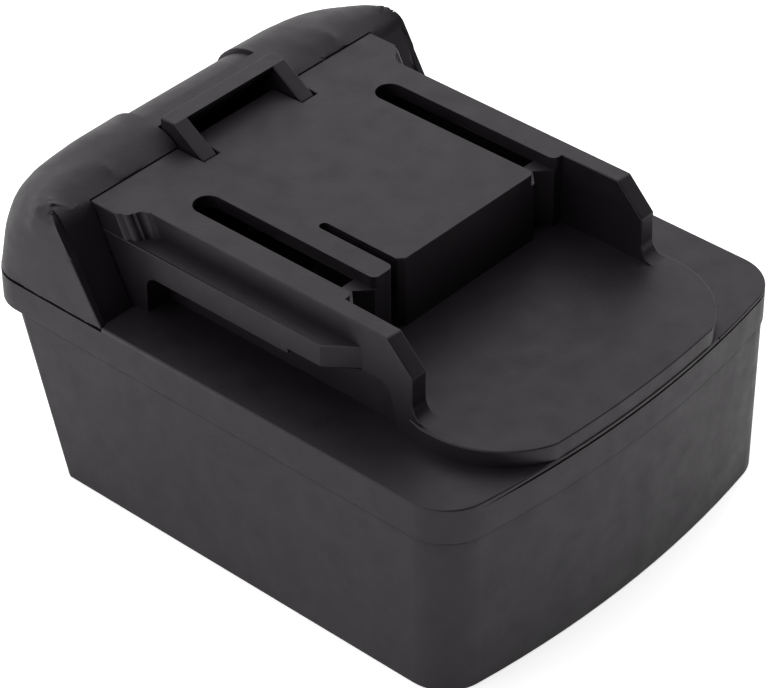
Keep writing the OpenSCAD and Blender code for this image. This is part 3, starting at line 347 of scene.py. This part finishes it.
def mouldedCopy(node, look):
    bpy.ops.object.select_all(action="DESELECT")
    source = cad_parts[node]
    source.select_set(True)
    bpy.context.view_layer.objects.active = source
    bpy.ops.object.duplicate()
    piece = bpy.context.view_layer.objects.active
    piece.name = look["name"]
    for key in list(piece.keys()):
        del piece[key]
    piece.parent = None
    bpy.ops.mesh.customdata_custom_splitnormals_clear()
    bpy.ops.object.mode_set(mode="EDIT")
    bpy.ops.mesh.select_all(action="SELECT")
    bpy.ops.mesh.remove_doubles(threshold=mergeReach)
    bpy.ops.mesh.select_mode(type="EDGE")
    bpy.ops.mesh.select_all(action="SELECT")
    bpy.ops.mesh.dissolve_limited(angle_limit=flatAngle)
    bpy.ops.object.mode_set(mode="OBJECT")
    if look["shape"]:
        look["shape"](piece)
    for reach in rounding["reaches"]:
        roundEdges(piece, look, reach * mm)
    bpy.ops.object.shade_smooth_by_angle(angle=smoothAngle)
    even = piece.modifiers.new("evenNormals", "WEIGHTED_NORMAL")
    even.keep_sharp = True
    bpy.ops.object.modifier_apply(modifier=even.name)
    piece.data.materials.clear()
    piece.data.materials.append(blackAbs)
    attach(piece, look["body"])
    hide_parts(node)


for node, look in mouldings.items():
    mouldedCopy(node, look)
print("outer mouldings shown:", len(mouldings))

insidePieces = {
    "innerNylon": ["terminal_carrier", "blade_holder"],
    "tinPlatedBrass": ["positive_contact", "negative_contact", "signal_contact",
                       "positive_blade", "negative_blade", "signal_blade"],
    "springSteel": ["latch_springs"],
    "zincPlatedSteel": ["case_screws", "carrier_screws", "holder_screws", "board_screws"],
    "solderResist": ["circuit_board"],
    "epoxyPackage": ["board_components"],
    "redPvc": ["positive_lead"],
    "blackPvc": ["negative_lead"],
    "palePvc": ["signal_lead"],
}
for finish, nodes in insidePieces.items():
    for node in nodes:
        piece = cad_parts[node]
        piece.data.materials.clear()
        piece.data.materials.append(finishes[finish])
print("inside pieces finished:", sum(len(nodes) for nodes in insidePieces.values()))


# Camera at the photograph's place, with a long lens
cameraLook = {
    "target": Vector((-6.23, -4.46, 26.55)) * mm,
    "distance": 513.27 * mm,
    "azimuth": radians(-47.86),
    "elevation": radians(37.21),
    "roll": radians(-0.56),
    "lens": 161.35,
    "sensor": 36,
    "nearest": 0.01,
}


def placeCamera(look):
    data = bpy.data.cameras.new("photoCamera")
    data.sensor_width = look["sensor"]
    data.sensor_fit = "HORIZONTAL"
    data.lens = look["lens"]
    data.clip_start = look["nearest"]
    camera = bpy.data.objects.new("photoCamera", data)
    bpy.context.scene.collection.objects.link(camera)
    turn = (Matrix.Rotation(look["azimuth"], 4, "Z")
            @ Matrix.Rotation(radians(90) - look["elevation"], 4, "X")
            @ Matrix.Rotation(look["roll"], 4, "Z"))
    back = Matrix.Translation((0, 0, look["distance"]))
    camera.matrix_world = Matrix.Translation(look["target"]) @ turn @ back
    bpy.context.scene.camera = camera


placeCamera(cameraLook)

# White paper sweep: white for the camera, dimmer in reflections, and it keeps the shadow
floorLook = {"size": 6.0, "colour": "#f4f4f4", "glow": 0.7, "mirroredGlow": 0.24}


def layFloor(look):
    bpy.ops.object.select_all(action="DESELECT")
    bpy.ops.mesh.primitive_plane_add(size=look["size"], location=(0, 0, 0))
    floor = bpy.context.object
    floor.name = "paperFloor"
    material, tree = newMaterial("whitePaper")
    path = addNode(tree, "ShaderNodeLightPath").outputs
    mirrored = addMath(tree, "MAXIMUM", path["Is Glossy Ray"], path["Is Transmission Ray"])
    inMirror = addMath(tree, "MULTIPLY", mirrored, look["mirroredGlow"])
    glow = addMath(tree, "MULTIPLY_ADD", path["Is Camera Ray"], look["glow"], inMirror)
    paper = addNode(tree, "ShaderNodeBsdfDiffuse", {"Color": toLinear(look["colour"])})
    shine = addNode(tree, "ShaderNodeEmission", None, {"Strength": glow})
    both = addNode(tree, "ShaderNodeAddShader")
    tree.links.new(paper.outputs[0], both.inputs[0])
    tree.links.new(shine.outputs[0], both.inputs[1])
    addNode(tree, "ShaderNodeOutputMaterial", None, {"Surface": both.outputs[0]})
    floor.data.materials.append(material)


layFloor(floorLook)

# White room behind, beside and above for the eye and for reflections, dark on the camera's side
roomLook = {"seen": 1.0, "light": 0.5, "darkSide": 0.0, "darkFrom": -0.65, "darkTo": -0.15,
            "ceiling": 0.5, "ceilingFrom": 0.62, "ceilingTo": 0.95}


def lightRoom(look):
    world = bpy.data.worlds.new("studioRoom")
    bpy.context.scene.world = world
    world.use_nodes = True
    tree = world.node_tree
    tree.nodes.clear()
    path = addNode(tree, "ShaderNodeLightPath").outputs
    mirrored = addMath(tree, "MAXIMUM", path["Is Glossy Ray"], path["Is Transmission Ray"])
    level = addNode(tree, "ShaderNodeMapRange", {"To Min": look["light"], "To Max": look["seen"]},
                    {"Value": mirrored})
    place = addNode(tree, "ShaderNodeTexCoord")
    split = addNode(tree, "ShaderNodeSeparateXYZ", None, {"Vector": place.outputs["Generated"]})
    side = addNode(tree, "ShaderNodeMapRange",
                   {"interpolation_type": "SMOOTHSTEP",
                    "From Min": look["darkFrom"], "From Max": look["darkTo"],
                    "To Min": look["darkSide"], "To Max": 1.0}, {"Value": split.outputs["Y"]})
    ceiling = addNode(tree, "ShaderNodeMapRange",
                      {"interpolation_type": "SMOOTHSTEP",
                       "From Min": look["ceilingFrom"], "From Max": look["ceilingTo"],
                       "To Min": 1.0, "To Max": look["ceiling"]}, {"Value": split.outputs["Z"]})
    walls = addMath(tree, "MULTIPLY", ceiling.outputs[0], side.outputs[0])
    shaped = addMath(tree, "MULTIPLY", level.outputs[0], walls)
    shown = addMath(tree, "MAXIMUM", shaped, path["Is Camera Ray"])
    room = addNode(tree, "ShaderNodeBackground", {"Color": (1, 1, 1, 1)}, {"Strength": shown})
    addNode(tree, "ShaderNodeOutputWorld", None, {"Surface": room.outputs[0]})


lightRoom(roomLook)

# Soft boxes: one above, one on the left, one on the right
softBoxes = {
    "topBox": {"place": (0.05, 0.25, 0.9), "size": 1.2, "power": 4.5},
    "leftBox": {"place": (-0.8, 0.35, 0.45), "size": 0.5, "power": 0.5},
    "rightBox": {"place": (0.8, 0.1, 0.5), "size": 0.5, "power": 2.5},
}


def hangSoftBox(name, look):
    data = bpy.data.lights.new(name, "AREA")
    data.shape = "SQUARE"
    data.size = look["size"]
    data.energy = look["power"]
    box = bpy.data.objects.new(name, data)
    bpy.context.scene.collection.objects.link(box)
    box.location = look["place"]
    box.visible_glossy = False    # the room alone is mirrored
    aim = cameraLook["target"] - Vector(look["place"])
    box.rotation_euler = aim.to_track_quat("-Z", "Y").to_euler()


for name, look in softBoxes.items():
    hangSoftBox(name, look)
bpy.context.scene.view_settings.view_transform = "Standard"
print("stage, camera and", len(softBoxes), "soft boxes ready")
